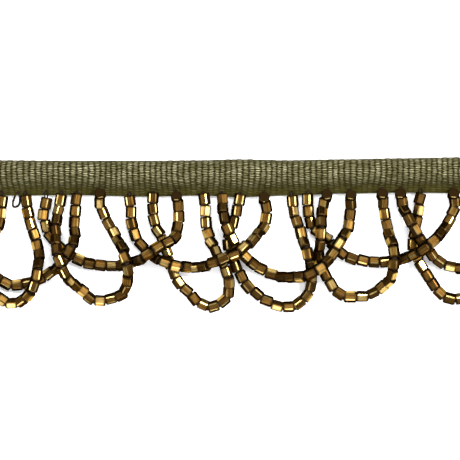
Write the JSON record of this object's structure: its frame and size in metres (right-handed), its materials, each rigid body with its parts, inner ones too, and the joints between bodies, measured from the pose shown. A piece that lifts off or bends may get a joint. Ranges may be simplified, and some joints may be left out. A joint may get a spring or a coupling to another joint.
{
  "type": "beaded fringe trim",
  "caption": "Cut length of folded ribbon trim with crossing loops of small hex-cut beads sewn along its lip, lying flat.",
  "frame": {"origin": "on the heading's flat back face, midway along the cut length, near the middle of the heading's height", "axes": "+X along the trim, +Y towards the ribbon's fold, +Z away from the surface the trim lies on"},
  "size_m": [0.138, 0.0308, 0.0072],
  "materials": {
    "ribbon_olive": "matt with a slight rayon sheen",
    "bead_bronze": "bronze metallic coat",
    "thread_brown": "matt"
  },
  "bodies": {
    "root": {"ribbon_heading": "ribbon_olive", "bead_fringe": "bead_bronze"}
  },
  "joints": []
}
